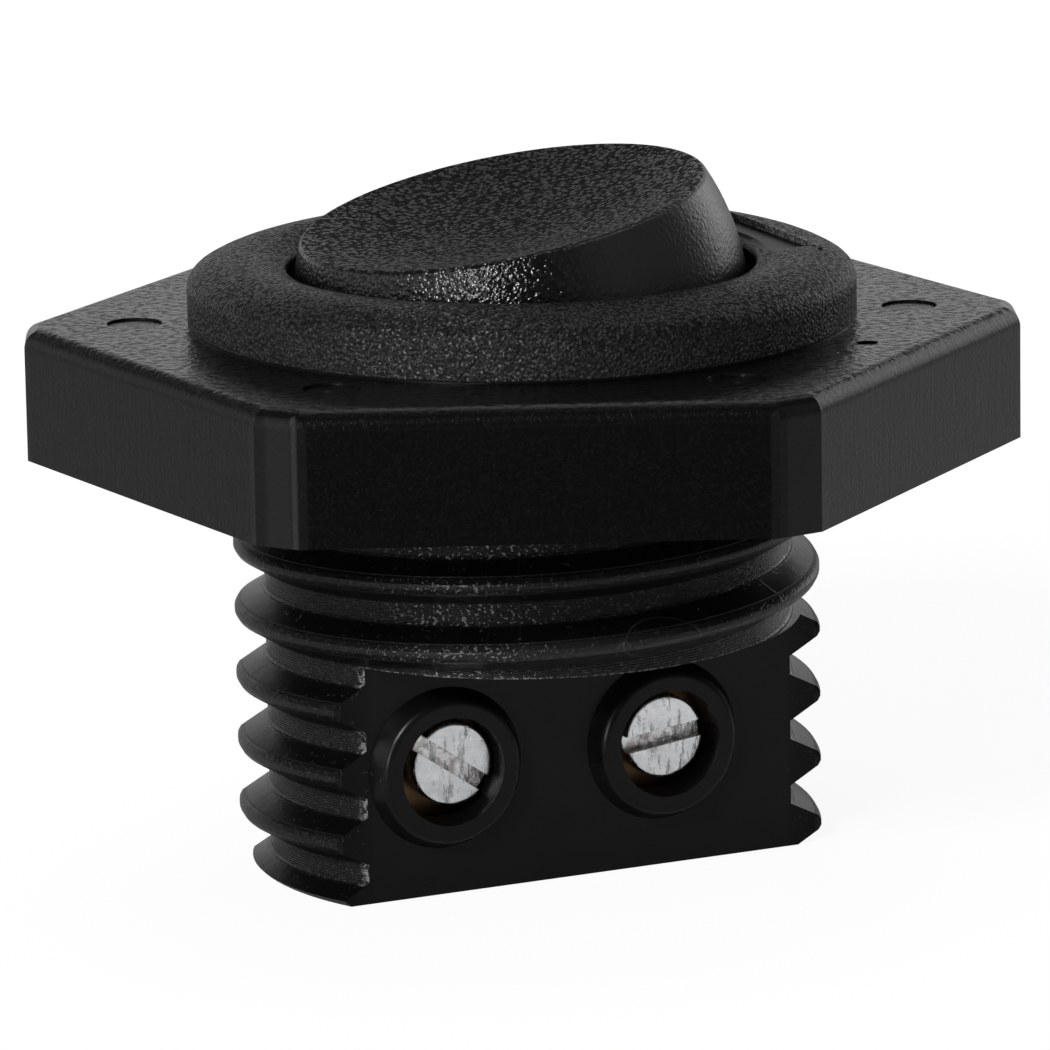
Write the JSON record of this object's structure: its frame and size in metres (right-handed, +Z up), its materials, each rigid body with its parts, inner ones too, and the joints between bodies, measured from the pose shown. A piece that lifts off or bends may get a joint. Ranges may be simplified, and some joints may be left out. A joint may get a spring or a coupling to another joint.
{
  "type": "panel-mount rocker switch",
  "caption": "Round rocker switch for a panel hole: dished tilting cap in a domed bezel, coarse-threaded barrel with flats and screw terminals, and a hexagon clamp nut.",
  "frame": {"origin": "centre of the barrel's flat foot, on the barrel's axis", "axes": "+Z up the barrel to the cap, +X towards the cap's raised side, terminal flats facing -Y and +Y"},
  "size_m": [0.0444, 0.047, 0.0332],
  "materials": {
    "housing_black": "black moulded polyamide, satin",
    "nut_black": "black moulded polyamide, fine spark grain",
    "cap_black": "black moulded plastic, pebble grain",
    "cover_black": "black moulded polyamide",
    "zinc_plated": "bright zinc plating",
    "brass": "bright turned brass",
    "copper_strip": "rolled copper alloy",
    "contact_silver": "silver alloy",
    "spring_steel": "drawn spring wire",
    "plunger_white": "natural acetal"
  },
  "bodies": {
    "housing": {"housing": "housing_black", "base_cover": "cover_black", "fixed_contact_front": "contact_silver", "switched_strip_front": "brass", "common_strip_front": "brass", "terminal_block_front_outer": "brass", "terminal_block_front_inner": "brass", "fixed_contact_rear": "contact_silver", "switched_strip_rear": "brass", "common_strip_rear": "brass", "terminal_block_rear_outer": "brass", "terminal_block_rear_inner": "brass"},
    "cap": {"cap": "cap_black", "plunger_front": "plunger_white", "plunger_spring_front": "spring_steel", "plunger_rear": "plunger_white", "plunger_spring_rear": "spring_steel"},
    "nut": {"hex_nut": "nut_black"},
    "bridge_front": {"contact_bridge_front": "copper_strip", "moving_contact_front": "contact_silver"},
    "screw_front_outer": {"terminal_screw_front_outer": "zinc_plated"},
    "screw_front_inner": {"terminal_screw_front_inner": "zinc_plated"},
    "bridge_rear": {"contact_bridge_rear": "copper_strip", "moving_contact_rear": "contact_silver"},
    "screw_rear_outer": {"terminal_screw_rear_outer": "zinc_plated"},
    "screw_rear_inner": {"terminal_screw_rear_inner": "zinc_plated"}
  },
  "joints": [
    {"name": "cap_tilt", "type": "hinge", "parent": "housing", "child": "cap", "pos_m": [0, 0, 0.02627], "axis": [0, 1, 0], "range_deg": [0, 21]},
    {"name": "nut_run", "type": "slide", "parent": "housing", "child": "nut", "axis": [0, 0, 1], "range_m": [-0.0096, 0]},
    {"name": "bridge_front_rock", "type": "hinge", "parent": "housing", "child": "bridge_front", "pos_m": [0, -0.0024, 0.01563], "axis": [0, 1, 0], "range_deg": [-16, 0]},
    {"name": "screw_front_outer_travel", "type": "slide", "parent": "housing", "child": "screw_front_outer", "axis": [0, -1, 0], "range_m": [-0.0008, 0.001]},
    {"name": "screw_front_inner_travel", "type": "slide", "parent": "housing", "child": "screw_front_inner", "axis": [0, -1, 0], "range_m": [-0.0008, 0.001]},
    {"name": "bridge_rear_rock", "type": "hinge", "parent": "housing", "child": "bridge_rear", "pos_m": [0, 0.0024, 0.01563], "axis": [0, 1, 0], "range_deg": [-16, 0]},
    {"name": "screw_rear_outer_travel", "type": "slide", "parent": "housing", "child": "screw_rear_outer", "axis": [0, 1, 0], "range_m": [-0.0008, 0.001]},
    {"name": "screw_rear_inner_travel", "type": "slide", "parent": "housing", "child": "screw_rear_inner", "axis": [0, 1, 0], "range_m": [-0.0008, 0.001]}
  ],
  "couplings": [
    {"joint": "bridge_front_rock", "follows": "cap_tilt", "ratio": -0.7619},
    {"joint": "bridge_rear_rock", "follows": "cap_tilt", "ratio": -0.7619}
  ]
}
